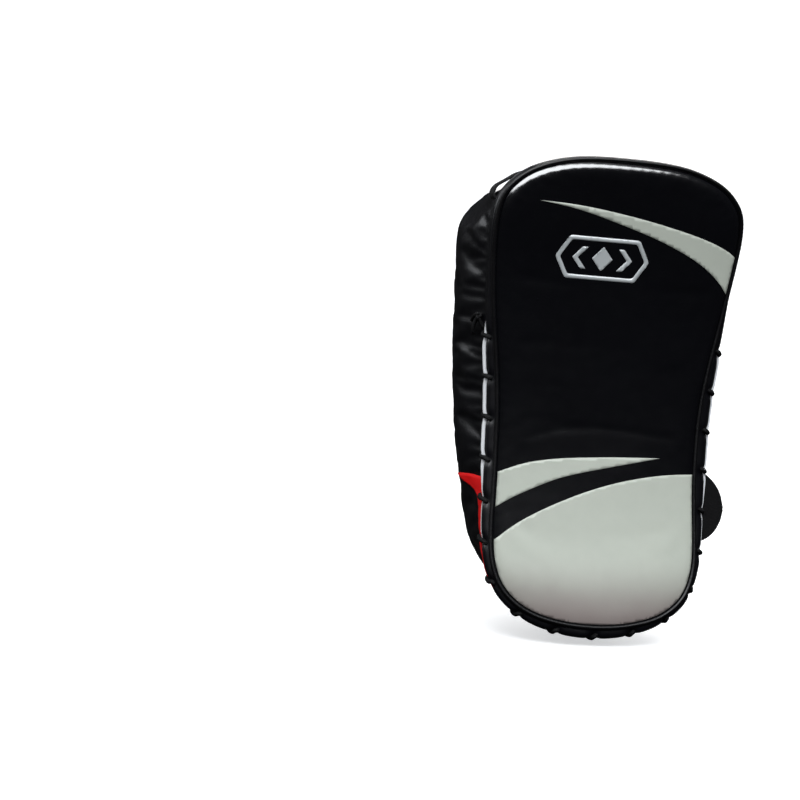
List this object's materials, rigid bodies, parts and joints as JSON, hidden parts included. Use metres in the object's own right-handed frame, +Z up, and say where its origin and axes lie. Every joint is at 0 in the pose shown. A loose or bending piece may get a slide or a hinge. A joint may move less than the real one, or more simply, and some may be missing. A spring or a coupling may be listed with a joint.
{
  "type": "kick shield",
  "caption": "Curved padded kick shield: piped strike cap laced round the lower edge to a thick foam body, with forearm bed, ringed hook-and-loop arm straps and a hand grip on the back.",
  "frame": {"origin": "centre of the flat top of the forearm bed, on the back of the shield", "axes": "+X to the right seen from the strike side, +Y out of the back towards the holder, +Z up towards the wide hand end; the strike face looks along -Y"},
  "size_m": [0.2942, 0.2263, 0.4283],
  "materials": {
    "black_leather": "glossy grained synthetic leather",
    "black_piping": "glossy",
    "pale_leather": "semi-gloss",
    "pale_print": "printed film",
    "red_leather": "semi-gloss",
    "pale_edging": "matt",
    "lace_cord": "braided",
    "foam": "closed-cell foam",
    "webbing": "woven",
    "hook_and_loop": "napped",
    "steel": "polished"
  },
  "bodies": {
    "root": {"back_panel": "black_leather", "body_side_gusset": "black_leather", "cap_side_band": "black_leather", "edge_liner": "pale_edging", "face_badge": "pale_print", "forearm_bed_cover": "black_leather", "forearm_bed_foam": "foam", "front_foam_layer": "foam", "front_piping": "black_piping", "grip_feet": "black_leather", "grip_patches": "black_leather", "grip_rivets": "steel", "hanging_loop": "webbing", "lace_knot": "lace_cord", "lace_stitches": "lace_cord", "lower_field_panel": "pale_leather", "lower_loop_sheet": "hook_and_loop", "lower_ring_anchor": "webbing", "lower_strap_band": "webbing", "lower_swoosh_panel": "pale_leather", "middle_foam_layer": "foam", "rear_foam_layer": "foam", "rear_piping": "black_piping", "ring_anchor_patches": "black_leather", "side_flash_panels": "red_leather", "strap_root_patches": "black_leather", "strike_face_panel": "black_leather", "strike_foam_sheet": "foam", "upper_flash_panel": "pale_leather", "upper_loop_sheet": "hook_and_loop", "upper_ring_anchor": "webbing", "upper_strap_band": "webbing"},
    "upper_ring_link": {"upper_ring": "steel"},
    "upper_tail_flap": {"upper_strap_tail": "webbing", "upper_hook_sheet": "hook_and_loop"},
    "lower_ring_link": {"lower_ring": "steel"},
    "lower_tail_flap": {"lower_strap_tail": "webbing", "lower_hook_sheet": "hook_and_loop"},
    "grip_handle": {"grip_strap": "black_leather", "grip_cover": "black_leather", "grip_foam": "foam"}
  },
  "joints": [
    {"name": "upper_ring_swing", "type": "hinge", "parent": "root", "child": "upper_ring_link", "pos_m": [-0.062, -0.00819, 0.04433], "axis": [0, -0.0627, 0.998], "range_deg": [0, 20]},
    {"name": "upper_tail_peel", "type": "hinge", "parent": "upper_ring_link", "child": "upper_tail_flap", "pos_m": [-0.0653, 0.01048, 0.0455], "axis": [0, -0.0627, 0.998], "range_deg": [0, 100]},
    {"name": "lower_ring_swing", "type": "hinge", "parent": "root", "child": "lower_ring_link", "pos_m": [-0.062, -0.01331, -0.0957], "axis": [0, 0.1353, 0.9908], "range_deg": [0, 20]},
    {"name": "lower_tail_peel", "type": "hinge", "parent": "lower_ring_link", "child": "lower_tail_flap", "pos_m": [-0.0653, 0.00523, -0.09824], "axis": [0, 0.1353, 0.9908], "range_deg": [0, 100]},
    {"name": "grip_swing", "type": "hinge", "parent": "root", "child": "grip_handle", "pos_m": [0, -0.02316, 0.1406], "axis": [1, 0, 0], "range_deg": [-12, 12]}
  ]
}
